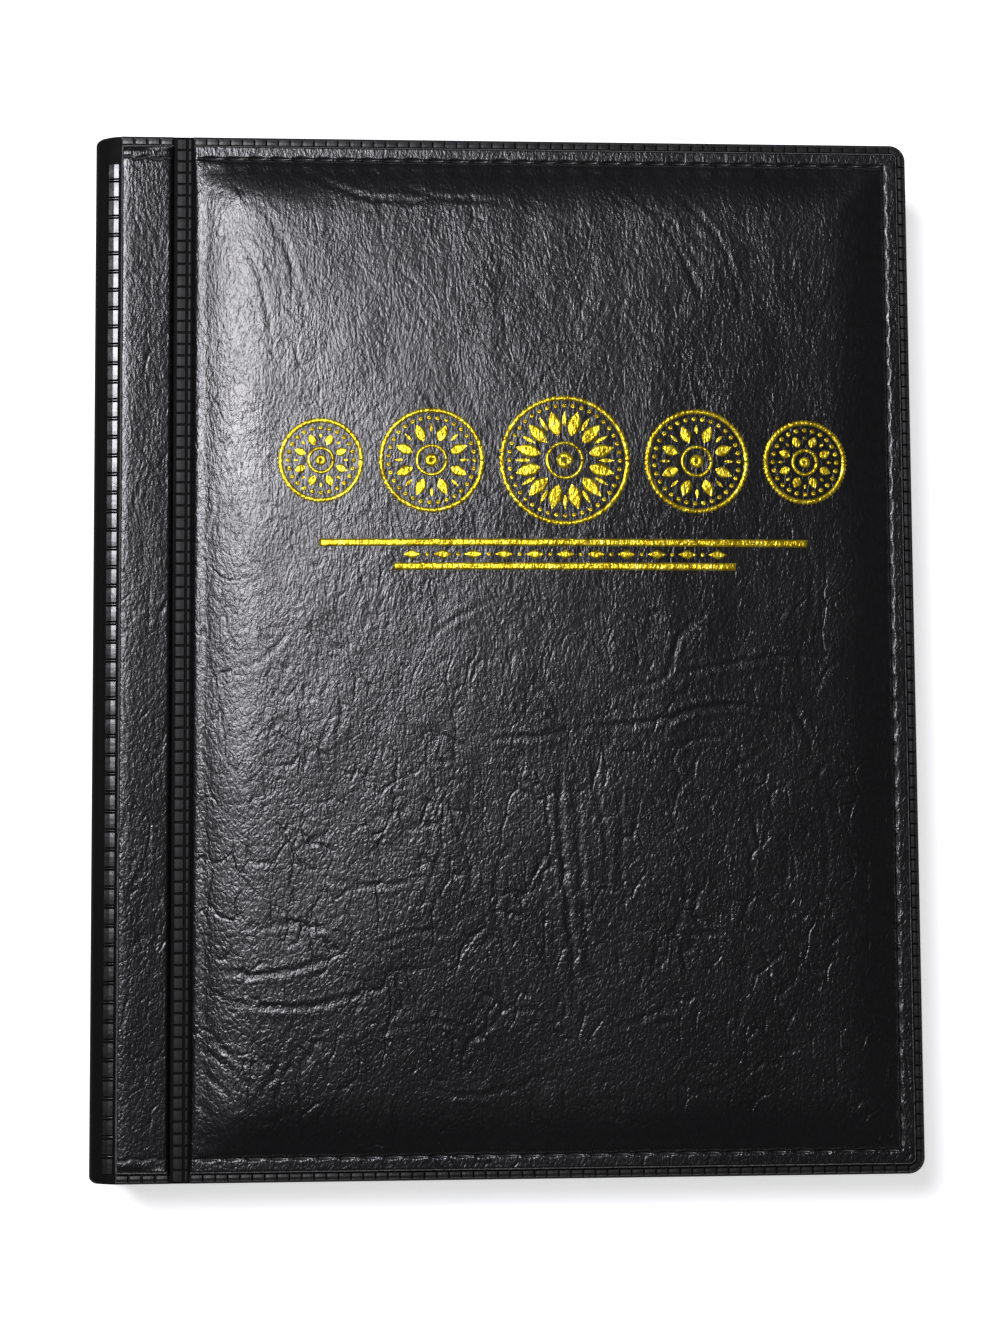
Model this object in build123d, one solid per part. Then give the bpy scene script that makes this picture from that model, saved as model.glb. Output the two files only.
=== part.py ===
"""A pocket coin album that lies closed on its back cover.

Five padded leatherette panels are welded side by side: back cover, back strip, spine, front strip and
front cover. Thin ribbed webs join them, and the album opens at those webs. Ten clear pocket pages are
riveted into a block that is glued inside the spine. Each page has three columns and four rows of pockets.

Frame: millimetres, +Z up, spine at -X, head of the album at +Y. The origin is the centre of the bottom of
the closed album's box. Every panel is drawn flat first: x runs across it, y along it, and z is the height
above its inner face. It is then placed as the front, the back or the spine.
"""

from build123d import *
import os

# Overall sizes of the closed album
album_width = 162.0
album_height = 205.0

# Sheet thicknesses
skin_thickness = 0.8
lining_thickness = 0.4
board_thickness = 1.8

# Panels, measured across the album from the outside of the spine
strip_width = 10.2
groove_width = 4.0
rim_width = 1.9
seam_inset = 4.1
corner_radius = 3.2
margin_corner_radius = 2.0
pillow_radius = 1.0
pad_height = 2.7
pad_slope = 8.0
board_clearance = 0.7

# Fold webs at the two spine corners
fold_inner_radius = 1.9

# Page block
page_count = 10
page_pitch = 1.2
film_thickness = 0.2
pocket_depth = 0.45
clamp_bar_thickness = 0.8
rivet_head_thickness = 0.5
block_clearance = 0.3
block_depth = 9.0
backing_thickness = 0.6
bar_setback = 1.2
tab_overhang = 0.3
crease_gap = 0.5
block_length = 190.0

# Rivets
rivet_count = 3
rivet_spacing = 70.0
rivet_radius = 2.0
rivet_bore_radius = 1.3
rivet_head_radius = 3.4
rivet_hole_clearance = 0.08

# Pages
page_length = 196.0
page_fore_margin = 4.5
page_root_margin = 8.0
pocket_columns = 3
pocket_rows = 4
weld_width = 1.6
slit_width = 1.2

# Sewing thread and gold foil
thread_width = 0.6
thread_height = 0.3
thread_clearance = 0.15
foil_thickness = 0.05
medallion_radii = (8.5, 10.5, 13.0, 10.5, 8.5)
medallion_gap = 2.6
medallion_ring = 1.1
medallion_groove = 1.0
ornament_x = 11.0
ornament_y = 37.0
rule_length = 96.0
rule_width = 1.5
rule_gap = 3.2

# Levels and positions that follow from those sizes
panel_thickness = lining_thickness + board_thickness + skin_thickness
web_thickness = lining_thickness + skin_thickness
half_width = album_width / 2
half_height = album_height / 2
stack_height = page_count * 2 * film_thickness + (page_count - 1) * (page_pitch - 2 * film_thickness)
inner_height = stack_height + 2 * (clamp_bar_thickness + rivet_head_thickness + block_clearance)
back_inner_z = panel_thickness + pad_height
front_inner_z = back_inner_z + inner_height
spine_outer_x = -half_width
spine_inner_x = spine_outer_x + panel_thickness
strip_left_x = spine_inner_x + fold_inner_radius
strip_right_x = strip_left_x + strip_width
cover_left_x = strip_right_x + groove_width
spine_panel_width = inner_height - 2 * fold_inner_radius
block_front_x = spine_inner_x + block_depth
leaf_left_x = block_front_x + tab_overhang + crease_gap
leaf_right_x = half_width - page_fore_margin
stack_bottom_z = back_inner_z + block_clearance + rivet_head_thickness + clamp_bar_thickness
rivet_x = spine_inner_x + (block_depth + bar_setback) / 2


def slab(x0, x1, y0, y1, z0, z1):
    """A box between two corners."""
    size = Box(x1 - x0, y1 - y0, z1 - z0)
    return Pos((x0 + x1) / 2, (y0 + y1) / 2, (z0 + z1) / 2) * size


def edges_along(shape, axis, x=None, z=None):
    """The shape's straight edges along an axis, at a given x or z where one is asked for."""
    found = shape.edges().filter_by(axis)
    if x is not None:
        found = found.filter_by(lambda edge: abs(edge.center().X - x) < 1e-4)
    if z is not None:
        found = found.filter_by(lambda edge: abs(edge.center().Z - z) < 1e-4)
    return found


def pad_frustum(x0, x1, y_half, z0, height, slope):
    """The low crowned shape of a pad: a rectangle that narrows by the slope on every side as it rises."""
    middle = (x0 + x1) / 2
    foot = Pos(middle, 0, z0) * Rectangle(x1 - x0, 2 * y_half)
    top = Pos(middle, 0, z0 + height) * Rectangle(x1 - x0 - 2 * slope, 2 * (y_half - slope))
    return loft([foot.face(), top.face()], ruled=True)


def as_front(shape):
    """Places a flat panel in the front cover's plane."""
    return Pos(0, 0, front_inner_z) * shape


def as_back(shape):
    """Places a flat panel in the back cover's plane, outer side down."""
    return Pos(0, 0, back_inner_z) * Rot(180, 0, 0) * shape


def as_spine(shape):
    """Stands a flat panel up as the spine, outer side towards -X."""
    return Pos(spine_inner_x, 0, (back_inner_z + front_inner_z) / 2) * Rot(0, -90, 0) * shape


# Covers


def cover_board():
    """Greyboard stiffener under the pad, inside the sewn seam."""
    inset = seam_inset + board_clearance
    return slab(
        cover_left_x + skin_thickness,
        half_width - inset,
        -half_height + inset,
        half_height - inset,
        lining_thickness,
        lining_thickness + board_thickness,
    )


def cover_foam():
    """Foam that gives the cover its crown. Its foot covers the board."""
    inset = seam_inset + board_clearance
    return pad_frustum(
        cover_left_x + skin_thickness,
        half_width - inset,
        half_height - inset,
        lining_thickness + board_thickness,
        pad_height,
        pad_slope,
    )


def rounded_outline(x0, x1, y_half, z0, z1, radius):
    """A slab whose two corners at the fore edge are rounded."""
    body = slab(x0, x1, -y_half, y_half, z0, z1)
    return fillet(edges_along(body, Axis.Z, x=x1), radius)


def cover_skin():
    """Leatherette over the pad: a thin rim on three sides, a margin outside the seam, then the pad."""
    rim = rounded_outline(
        cover_left_x, half_width, half_height, lining_thickness, web_thickness, corner_radius
    )
    margin = rounded_outline(
        cover_left_x,
        half_width - rim_width,
        half_height - rim_width,
        lining_thickness,
        panel_thickness,
        margin_corner_radius,
    )
    margin = fillet(margin.faces().sort_by(Axis.Z)[-1].edges(), pillow_radius)
    foot_inset = seam_inset + thread_width / 2 + thread_clearance
    crown = pad_frustum(
        cover_left_x + pillow_radius + thread_clearance,
        half_width - foot_inset,
        half_height - foot_inset,
        panel_thickness,
        pad_height,
        pad_slope,
    )
    crown = fillet(crown.faces().sort_by(Axis.Z)[-1].edges(), pad_slope)
    return rim + margin + crown - cover_board() - cover_foam()


def cover_lining():
    """Flat lining inside the cover."""
    return rounded_outline(cover_left_x, half_width, half_height, 0, lining_thickness, corner_radius)


def seam_thread():
    """Sewing thread round the cover's three free sides, lying on the margin."""
    x_low = cover_left_x + pillow_radius + 2 * thread_clearance
    x_high = half_width - seam_inset + thread_width / 2
    y_high = half_height - seam_inset + thread_width / 2
    outer = slab(
        x_low, x_high, -y_high, y_high, panel_thickness - thread_height, panel_thickness
    )
    inner = slab(
        x_low,
        x_high - thread_width,
        -y_high + thread_width,
        y_high - thread_width,
        panel_thickness - thread_height,
        panel_thickness,
    )
    return outer - inner


def cover_parts():
    """The cover's layers, with the thread let into the skin."""
    thread = seam_thread()
    return {
        "skin": cover_skin() - thread,
        "foam": cover_foam(),
        "board": cover_board(),
        "lining": cover_lining(),
        "seam_thread": thread,
    }


# Binding strips and spine


def narrow_skin(x0, x1):
    """Leatherette over a narrow panel: a flat rim at head and tail, and a pillow between them."""
    rim = slab(x0, x1, -half_height, half_height, lining_thickness, web_thickness)
    pillow = slab(
        x0, x1, -half_height + rim_width, half_height - rim_width, lining_thickness, panel_thickness
    )
    pillow = fillet(pillow.faces().sort_by(Axis.Z)[-1].edges(), pillow_radius)
    return rim + pillow - narrow_board(x0, x1)


def narrow_board(x0, x1):
    """Greyboard inside a narrow panel."""
    y_half = half_height - rim_width - skin_thickness
    return slab(
        x0 + skin_thickness,
        x1 - skin_thickness,
        -y_half,
        y_half,
        lining_thickness,
        lining_thickness + board_thickness,
    )


def narrow_lining(x0, x1):
    """Lining inside a narrow panel."""
    return slab(x0, x1, -half_height, half_height, 0, lining_thickness)


# Flexible webs


def groove_web():
    """The welded strip between a binding strip and its cover, with cross ribs on its outer side."""
    return slab(strip_right_x, cover_left_x, -half_height, half_height, 0, web_thickness)


def fold_web():
    """The welded band round the spine's front corner, bent through a right angle."""
    centre_z = front_inner_z - fold_inner_radius
    ring = Cylinder(fold_inner_radius + web_thickness, album_height) - Cylinder(
        fold_inner_radius, album_height
    )
    ring = Pos(strip_left_x, 0, centre_z) * Rot(90, 0, 0) * ring
    reach = fold_inner_radius + 2 * web_thickness
    corner = slab(
        strip_left_x - reach, strip_left_x, -half_height, half_height, centre_z, centre_z + reach
    )
    return ring & corner


def mirrored_down(shape):
    """The same web at the back: mirrored in the album's middle plane."""
    middle = Plane.XY.offset((back_inner_z + front_inner_z) / 2)
    return mirror(shape, about=middle)


# Page block


def rivet_rows():
    """The rivets' places along the spine."""
    first = -rivet_spacing * (rivet_count - 1) / 2
    return [first + number * rivet_spacing for number in range(rivet_count)]


def drilled(shape):
    """The shape with a clearance hole for each rivet."""
    hole = Cylinder(rivet_radius + rivet_hole_clearance, 4 * inner_height)
    for y in rivet_rows():
        shape = shape - Pos(rivet_x, y, back_inner_z) * hole
    return shape


def page_level(number):
    """The height of the joint between a page's two films. Page 1 is the first one under the front cover."""
    return stack_bottom_z + film_thickness + (page_count - number) * page_pitch


def page_tab(number):
    """A page's binding edge, where its two films are welded together."""
    z = page_level(number)
    tab = slab(
        spine_inner_x + backing_thickness,
        block_front_x + tab_overhang,
        -block_length / 2,
        block_length / 2,
        z - film_thickness,
        z + film_thickness,
    )
    return drilled(tab)


def tab_spacer(number):
    """The strip that keeps a page's tab apart from the tab below it."""
    z = page_level(number)
    spacer = slab(
        spine_inner_x + backing_thickness,
        block_front_x,
        -block_length / 2,
        block_length / 2,
        z - page_pitch + film_thickness,
        z - film_thickness,
    )
    return drilled(spacer)


def clamp_bar(z0):
    """A bar that spreads the rivets' pressure over the block."""
    bar = slab(
        spine_inner_x + bar_setback,
        block_front_x,
        -block_length / 2,
        block_length / 2,
        z0,
        z0 + clamp_bar_thickness,
    )
    return drilled(bar)


def backing_strip():
    """The strip glued between the page block and the spine's lining."""
    middle = (back_inner_z + front_inner_z) / 2
    return slab(
        spine_inner_x,
        spine_inner_x + backing_thickness,
        -block_length / 2,
        block_length / 2,
        middle - spine_panel_width / 2,
        middle + spine_panel_width / 2,
    )


def binding_rivet(y):
    """A tubular rivet with a round-edged head at each end."""
    z_low = stack_bottom_z - clamp_bar_thickness
    z_high = stack_bottom_z + stack_height + clamp_bar_thickness
    shank = Cylinder(rivet_radius, z_high - z_low)
    shank = Pos(0, 0, (z_low + z_high) / 2) * shank
    head = Cylinder(rivet_head_radius, rivet_head_thickness)
    top_head = fillet(head.edges().sort_by(Axis.Z)[-1], rivet_head_thickness * 0.8)
    low_head = fillet(head.edges().sort_by(Axis.Z)[0], rivet_head_thickness * 0.8)
    top_head = Pos(0, 0, z_high + rivet_head_thickness / 2) * top_head
    low_head = Pos(0, 0, z_low - rivet_head_thickness / 2) * low_head
    bore = Pos(0, 0, (z_low + z_high) / 2) * Cylinder(rivet_bore_radius, 2 * inner_height)
    return Pos(rivet_x, y, 0) * (shank + top_head + low_head - bore)


# Pages


def back_film(number):
    """A page's back film, one clear sheet."""
    z = page_level(number)
    return slab(
        leaf_left_x, leaf_right_x, -page_length / 2, page_length / 2, z - film_thickness, z
    )


def front_film(number):
    """A page's front films and the weld ribs that hold them: one film to a row, open at its head."""
    z = page_level(number)
    pocket_left = leaf_left_x + page_root_margin
    column_pitch = (leaf_right_x - pocket_left - weld_width) / pocket_columns
    row_pitch = (page_length - weld_width) / pocket_rows
    film_low = z + pocket_depth
    pieces = [
        slab(
            leaf_left_x, pocket_left, -page_length / 2, page_length / 2, z, z + film_thickness
        )
    ]
    for column in range(pocket_columns + 1):
        x = pocket_left + column * column_pitch
        pieces.append(
            slab(x, x + weld_width, -page_length / 2, page_length / 2, z, film_low)
        )
    for row in range(pocket_rows):
        y = -page_length / 2 + row * row_pitch
        top = y + row_pitch - slit_width
        pieces.append(slab(pocket_left, leaf_right_x, y, top, film_low, film_low + film_thickness))
        for column in range(pocket_columns):
            x = pocket_left + column * column_pitch
            pieces.append(slab(x + weld_width, x + column_pitch, y, y + weld_width, z, film_low))
    return pieces


# Gold foil


def medallion(x, radius):
    """A plain coin-like medallion: a rim, a groove and a disc with a round eye."""
    rim = Circle(radius) - Circle(radius - medallion_ring)
    disc_radius = radius - medallion_ring - medallion_groove
    disc = Circle(disc_radius) - Circle(disc_radius / 3)
    return [Pos(x, ornament_y, 0) * shape for shape in (rim, disc)]


def foil_shapes():
    """The outlines of the gold ornament: a row of medallions over two rules."""
    total = 2 * sum(medallion_radii) + medallion_gap * (len(medallion_radii) - 1)
    x = ornament_x - total / 2
    shapes = []
    for radius in medallion_radii:
        shapes += medallion(x + radius, radius)
        x += 2 * radius + medallion_gap
    rule_y = ornament_y - max(medallion_radii) - rule_gap
    for number in range(2):
        y = rule_y - number * (rule_width + rule_gap)
        length = rule_length * (1 - 0.3 * number)
        shapes.append(Pos(ornament_x, y, 0) * Rectangle(length, rule_width))
    return shapes


def foil_stamp():
    """Foil pressed on the flat of the front pad."""
    top = panel_thickness + pad_height
    return [extrude(Pos(0, 0, top) * shape, foil_thickness) for shape in foil_shapes()]


def build_parts():
    """Every node of the album by name."""
    parts = {}
    for name, shape in cover_parts().items():
        parts[f"front_{name}"] = as_front(shape)
        parts[f"back_{name}"] = as_back(shape)
    strip = {
        "skin": narrow_skin(strip_left_x, strip_right_x),
        "board": narrow_board(strip_left_x, strip_right_x),
        "lining": narrow_lining(strip_left_x, strip_right_x),
    }
    for name, shape in strip.items():
        parts[f"front_strip_{name}"] = as_front(shape)
        parts[f"back_strip_{name}"] = as_back(shape)
    half_spine = spine_panel_width / 2
    parts["spine_skin"] = as_spine(narrow_skin(-half_spine, half_spine))
    parts["spine_board"] = as_spine(narrow_board(-half_spine, half_spine))
    parts["spine_lining"] = as_spine(narrow_lining(-half_spine, half_spine))
    parts["front_groove_web"] = as_front(groove_web())
    parts["back_groove_web"] = as_back(groove_web())
    parts["front_fold_web"] = fold_web()
    parts["back_fold_web"] = mirrored_down(fold_web())
    parts["front_foil_stamp"] = Compound([as_front(shape) for shape in foil_stamp()])
    parts["page_backing_strip"] = backing_strip()
    parts["back_clamp_bar"] = clamp_bar(stack_bottom_z - clamp_bar_thickness)
    parts["front_clamp_bar"] = clamp_bar(stack_bottom_z + stack_height)
    parts["page_tabs"] = Compound([page_tab(number) for number in range(1, page_count + 1)])
    parts["tab_spacers"] = Compound([tab_spacer(number) for number in range(1, page_count)])
    parts["binding_rivets"] = Compound([binding_rivet(y) for y in rivet_rows()])
    for number in range(1, page_count + 1):
        parts[f"page_{number:02d}_back_film"] = back_film(number)
        parts[f"page_{number:02d}_front_film"] = Compound(front_film(number))
    return parts


def main():
    os.makedirs("parts", exist_ok=True)
    for name, shape in build_parts().items():
        export_step(shape, f"parts/{name}.step")


main()
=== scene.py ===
"""Looks of a padded leatherette coin album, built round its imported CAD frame.

Every panel is first made flat: x runs across the album, y along it and h is the height above the
panel's inner face, all in millimetres. The panel is then placed as a front, back or spine panel.
"""

import math

import bpy
import numpy as np
from mathutils import Matrix, Vector


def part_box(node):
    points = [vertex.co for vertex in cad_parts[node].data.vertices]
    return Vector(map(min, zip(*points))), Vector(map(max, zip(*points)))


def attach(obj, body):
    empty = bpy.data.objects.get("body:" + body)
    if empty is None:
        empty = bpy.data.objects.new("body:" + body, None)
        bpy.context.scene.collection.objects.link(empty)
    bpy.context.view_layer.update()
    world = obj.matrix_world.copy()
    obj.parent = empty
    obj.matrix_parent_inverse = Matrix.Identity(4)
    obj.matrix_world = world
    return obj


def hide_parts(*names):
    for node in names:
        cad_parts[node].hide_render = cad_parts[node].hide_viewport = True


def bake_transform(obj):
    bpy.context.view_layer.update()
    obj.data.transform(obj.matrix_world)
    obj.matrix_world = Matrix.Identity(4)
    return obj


MM = 0.001
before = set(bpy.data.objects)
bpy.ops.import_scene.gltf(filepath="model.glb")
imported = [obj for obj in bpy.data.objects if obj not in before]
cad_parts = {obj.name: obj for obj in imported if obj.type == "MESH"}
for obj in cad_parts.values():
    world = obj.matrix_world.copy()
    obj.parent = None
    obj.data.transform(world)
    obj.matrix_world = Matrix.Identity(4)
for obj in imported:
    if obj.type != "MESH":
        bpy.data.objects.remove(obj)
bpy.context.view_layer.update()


def node_span(node):
    """A CAD node's lowest and highest corner, in millimetres."""
    low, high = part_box(node)
    return np.array(low) / MM, np.array(high) / MM


# Levels and edges of the panels, from the CAD frame
lining_low, lining_high = node_span("front_lining")
skin_low, skin_high = node_span("front_skin")
strip_low, strip_high = node_span("front_strip_skin")
web_low, web_high = node_span("front_groove_web")
spine_low, spine_high = node_span("spine_skin")

FRONT_INNER = lining_low[2]
BACK_INNER = node_span("back_lining")[1][2]
LINING = lining_high[2] - lining_low[2]
RIM = web_high[2] - web_low[2]
PANEL = strip_high[2] - FRONT_INNER
BOARD_TOP = node_span("front_strip_board")[1][2] - FRONT_INNER
CROWN = skin_high[2] - FRONT_INNER
COVER_LEFT, FORE_EDGE = skin_low[0], skin_high[0]
STRIP_LEFT, STRIP_RIGHT = strip_low[0], strip_high[0]
HALF_HEIGHT = skin_high[1]
SPINE_INNER = node_span("spine_lining")[1][0]
SPINE_HALF = (spine_high[2] - spine_low[2]) / 2
FOLD_RADIUS = STRIP_LEFT - SPINE_INNER

# Levels of the looks, above a panel's inner face
MARGIN_TOP = PANEL - 0.2
BEAD_LEVEL = RIM - 0.12
WEB_TOP = RIM - 0.35
STITCH_LEVELS = (PANEL - 0.7, PANEL - 0.5, PANEL - 0.58)

# Sizes of the sewn and welded details
SEAM_INSET = 4.8
STITCH_PITCH = 4.4
BEAD_PITCH = 2.36
BEAD_INSET = 1.05
RIM_WIDTH = 1.85
FOLD_PITCH = 3.7
GROOVE_PITCH = 2.3
CORNER_RADIUS = 3.2
SWELL_SCALE = 10
SWELL_FRAMES = 24
FOAM_INSET, FOAM_EDGE, FOAM_RISE, FOAM_TAPER = 4.8, 1.8, 2.7, 8.0
FOIL_ABOVE, FOIL_BELOW = 0.035, 0.06
WELD_WIDTH = 1.6


# Node trees


def maths_operator(operation, reflected=False):
    """A method of Wire that adds one Math node on two values."""

    def method(self, other):
        first, second = (other, self) if reflected else (self, other)
        return self.maths(operation, first, second)

    return method


class Wire:
    """A node's output socket that can be used in arithmetic."""

    def __init__(self, nodes, socket):
        self.nodes = nodes
        self.socket = socket

    def maths(self, operation, first, second=0.0):
        """A Math node on two values."""
        return self.nodes.add("ShaderNodeMath", {"operation": operation}, {0: first, 1: second})

    __add__, __radd__ = maths_operator("ADD"), maths_operator("ADD", True)
    __sub__, __rsub__ = maths_operator("SUBTRACT"), maths_operator("SUBTRACT", True)
    __mul__, __rmul__ = maths_operator("MULTIPLY"), maths_operator("MULTIPLY", True)
    __truediv__, __rtruediv__ = maths_operator("DIVIDE"), maths_operator("DIVIDE", True)
    __pow__ = maths_operator("POWER")
    above = maths_operator("GREATER_THAN")

    def __abs__(self):
        return self.maths("ABSOLUTE", self)

    def sine(self):
        return self.maths("SINE", self)

    def part(self, axis):
        """One part of a vector: 0, 1 or 2."""
        return self.nodes.add("ShaderNodeSeparateXYZ", None, {0: self}, axis)

    def rise(self, low, high):
        """0 up to low, 1 from high, and a smooth rise between."""
        sockets = {"Value": self, "From Min": low, "From Max": high}
        return self.nodes.add("ShaderNodeMapRange", {"interpolation_type": "SMOOTHSTEP"}, sockets)


class Nodes:
    """Makes the nodes of one tree, which may be a material's."""

    def __init__(self, tree, material=None):
        self.tree = tree
        self.material = material

    def add(self, kind, settings=None, sockets=None, out=0):
        """A node of a kind, its settings first and then its sockets' values or links."""
        node = self.tree.nodes.new(kind)
        for key, value in (settings or {}).items():
            if key == "stops":
                ramp = node.color_ramp.elements
                while len(ramp) < len(value):
                    ramp.new(0.5)
                for stop, (place, colour) in zip(ramp, value):
                    stop.position = place
                    stop.color = (*colour, 1.0)
            else:
                setattr(node, key, value)
        for key, value in (sockets or {}).items():
            if isinstance(value, Wire):
                self.tree.links.new(value.socket, node.inputs[key])
            else:
                node.inputs[key].default_value = value
        return Wire(self, node.outputs[out]) if node.outputs else None


def start_material(name):
    """The maker of an empty material's nodes."""
    material = bpy.data.materials.new(name)
    material.use_nodes = True
    material.node_tree.nodes.clear()
    return Nodes(material.node_tree, material)


def finish_material(nodes, **surface):
    """Ends a material in one Principled surface, and gives it back."""
    sockets = {key.replace("_", " "): value for key, value in surface.items()}
    shader = nodes.add("ShaderNodeBsdfPrincipled", None, sockets)
    nodes.add("ShaderNodeOutputMaterial", None, {"Surface": shader})
    return nodes.material


def object_point(nodes, scale=(1.0, 1.0, 1.0), turn=0.0):
    """Object coordinates in millimetres, stretched by scale and turned about z."""
    place = nodes.add("ShaderNodeTexCoord", None, None, "Object")
    sockets = {
        "Vector": place,
        "Scale": tuple(value / MM for value in scale),
        "Rotation": (0.0, 0.0, turn),
    }
    return nodes.add("ShaderNodeMapping", {"vector_type": "POINT"}, sockets)


def noise(nodes, point, scale, detail=3.0, roughness=0.55, distortion=0.0):
    """Soft noise from 0 to 1, with features 1 / scale millimetres wide."""
    sockets = {
        "Vector": point,
        "Scale": scale,
        "Detail": detail,
        "Roughness": roughness,
        "Distortion": distortion,
    }
    return nodes.add("ShaderNodeTexNoise", None, sockets)


def warped(nodes, point, scale, amount):
    """The point, pushed about by noise so that a pattern on it runs unevenly."""
    kind = "ShaderNodeVectorMath"
    sockets = {"Vector": point, "Scale": scale, "Detail": 2.0}
    push = nodes.add("ShaderNodeTexNoise", None, sockets, 1)
    centred = nodes.add(kind, {"operation": "SUBTRACT"}, {0: push, 1: (0.5, 0.5, 0.5)})
    scaled = nodes.add(kind, {"operation": "SCALE"}, {0: centred, "Scale": amount})
    return nodes.add(kind, {"operation": "ADD"}, {0: point, 1: scaled})


def cell_edges(nodes, point, scale):
    """The distance to the borders of irregular cells."""
    sockets = {"Vector": point, "Scale": scale, "Randomness": 1.0}
    return nodes.add("ShaderNodeTexVoronoi", {"feature": "DISTANCE_TO_EDGE"}, sockets)


def painted(nodes, name):
    """A value from 0 to 1 that a piece's points carry."""
    return nodes.add("ShaderNodeAttribute", {"attribute_name": name}, None, "Fac")


def mixed(nodes, factor, first, second):
    """A colour between two colours."""
    first, second = ((*c, 1.0) if isinstance(c, tuple) else c for c in (first, second))
    sockets = {"Factor": factor, 6: first, 7: second}
    return nodes.add("ShaderNodeMix", {"data_type": "RGBA"}, sockets, 2)


def bumped(nodes, height, distance):
    """A normal bent by a height from 0 to 1 that stands for a distance in millimetres."""
    return nodes.add("ShaderNodeBump", None, {"Height": height, "Distance": distance * MM})


def leather_grain(nodes):
    """The pressed grain: upright streaks towards the head, crackled pebbles towards the tail."""
    point = object_point(nodes)
    streak_point = warped(nodes, object_point(nodes, (1.0, 0.42, 1.0)), 0.12, 5.0)
    streaks = noise(nodes, streak_point, 1.5, 2.5, 0.6, 0.3)
    pebble_point = warped(nodes, object_point(nodes, (1.0, 0.72, 1.0)), 0.5, 1.6)
    pebbles = cell_edges(nodes, pebble_point, 1.1).rise(0.0, 0.28)
    crack_point = warped(nodes, object_point(nodes, (1.0, 0.55, 1.0)), 0.12, 7.0)
    cracks = cell_edges(nodes, warped(nodes, crack_point, 0.6, 1.2), 0.19)
    crack_mask = noise(nodes, point, 0.11, 3.0, 0.6).rise(0.42, 0.6)
    cracked = (1.0 - cracks.rise(0.0, 0.085)) * crack_mask
    fine = noise(nodes, point, 3.6, 2.0, 0.6)
    blotches = noise(nodes, point, 0.035, 2.0, 0.5)
    towards_tail = (point.part(1) * -0.008 + 0.32 + (blotches - 0.5) * 1.1).rise(0.1, 0.8)
    crackle = pebbles * 0.32 + streaks * 0.95
    upright = streaks * 1.4 + pebbles * 0.12
    relief = upright + (crackle - upright) * towards_tail + fine * 0.12
    return relief - cracked * (0.28 + towards_tail * 0.6), blotches


def make_leatherette():
    """Black grained leatherette. A painted value darkens the needle holes, the rims under the
    beads and the strips' hems: painted shade.
    """
    nodes = start_material("leatherette")
    relief, blotches = leather_grain(nodes)
    # Painted shade in needle holes, on rims under the beads and in hems: these points are mixed
    # towards near black below
    pit = painted(nodes, "pit")
    shade = relief.rise(0.5, 1.5)
    base = mixed(nodes, shade, (0.0022, 0.0022, 0.0026), (0.0065, 0.0065, 0.0075))
    return finish_material(
        nodes,
        Base_Color=mixed(nodes, pit, base, (0.001, 0.001, 0.001)),
        Roughness=0.28 + (blotches - 0.5) * 0.14 - relief.rise(0.7, 1.6) * 0.06 + pit * 0.55,
        Specular_IOR_Level=0.62,
        Normal=bumped(nodes, relief, 0.085),
    )


def make_welded_vinyl(name, roughness, dark=0.004, specular=0.6):
    """Smooth black vinyl of the welded beads, ribs and folds."""
    nodes = start_material(name)
    waves = noise(nodes, object_point(nodes), 0.45, 3.0)
    return finish_material(
        nodes,
        Base_Color=mixed(nodes, waves, (dark,) * 3, (2.4 * dark,) * 3),
        Roughness=roughness + (waves - 0.5) * 0.2,
        Specular_IOR_Level=specular,
        Normal=bumped(nodes, waves, 0.05),
    )


def make_lining():
    """Matt black vinyl lining with a fine linen press."""
    nodes = start_material("lining_vinyl")
    point = object_point(nodes)
    linen = (point.part(0) * 9.0).sine() * 0.25 + (point.part(1) * 9.0).sine() * 0.25 + 0.5
    cloud = noise(nodes, point, 0.08, 4.0)
    return finish_material(
        nodes,
        Base_Color=mixed(nodes, cloud, (0.014, 0.014, 0.015), (0.028, 0.028, 0.03)),
        Roughness=0.55 + cloud * 0.12,
        Normal=bumped(nodes, linen + cloud * 0.3, 0.05),
    )


def make_thread():
    """Twisted charcoal sewing thread."""
    nodes = start_material("sewing_thread")
    twist = noise(nodes, object_point(nodes, turn=0.6), 2.2, 2.0)
    fuzz = noise(nodes, object_point(nodes), 6.0, 2.0)
    return finish_material(
        nodes,
        Base_Color=mixed(nodes, twist, (0.007, 0.007, 0.008), (0.045, 0.045, 0.048)),
        Roughness=0.42 + fuzz * 0.15,
        Normal=bumped(nodes, twist + fuzz * 0.4, 0.08),
    )


def make_gold_foil():
    """Mottled gold foil, thin enough for the grain to show and to have missed a few pits."""
    nodes = start_material("gold_foil")
    relief, _ = leather_grain(nodes)
    point = object_point(nodes)
    mottle = noise(nodes, warped(nodes, point, 0.3, 2.5), 0.55, 4.0, 0.7)
    missed = noise(nodes, point, 0.9, 5.0, 0.75).rise(0.66, 0.72)
    stops = [
        (0.28, (0.30, 0.19, 0.008)),
        (0.45, (0.62, 0.44, 0.015)),
        (0.58, (0.86, 0.68, 0.04)),
        (0.75, (1.0, 0.90, 0.30)),
    ]
    gold = nodes.add("ShaderNodeValToRGB", {"stops": stops}, {"Fac": mottle})
    return finish_material(
        nodes,
        Base_Color=mixed(nodes, missed, gold, (0.03, 0.025, 0.015)),
        Metallic=0.85 - missed * 0.8,
        Roughness=0.36 + (mottle - 0.5) * 0.3,
        Normal=bumped(nodes, relief, 0.16),
    )


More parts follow.
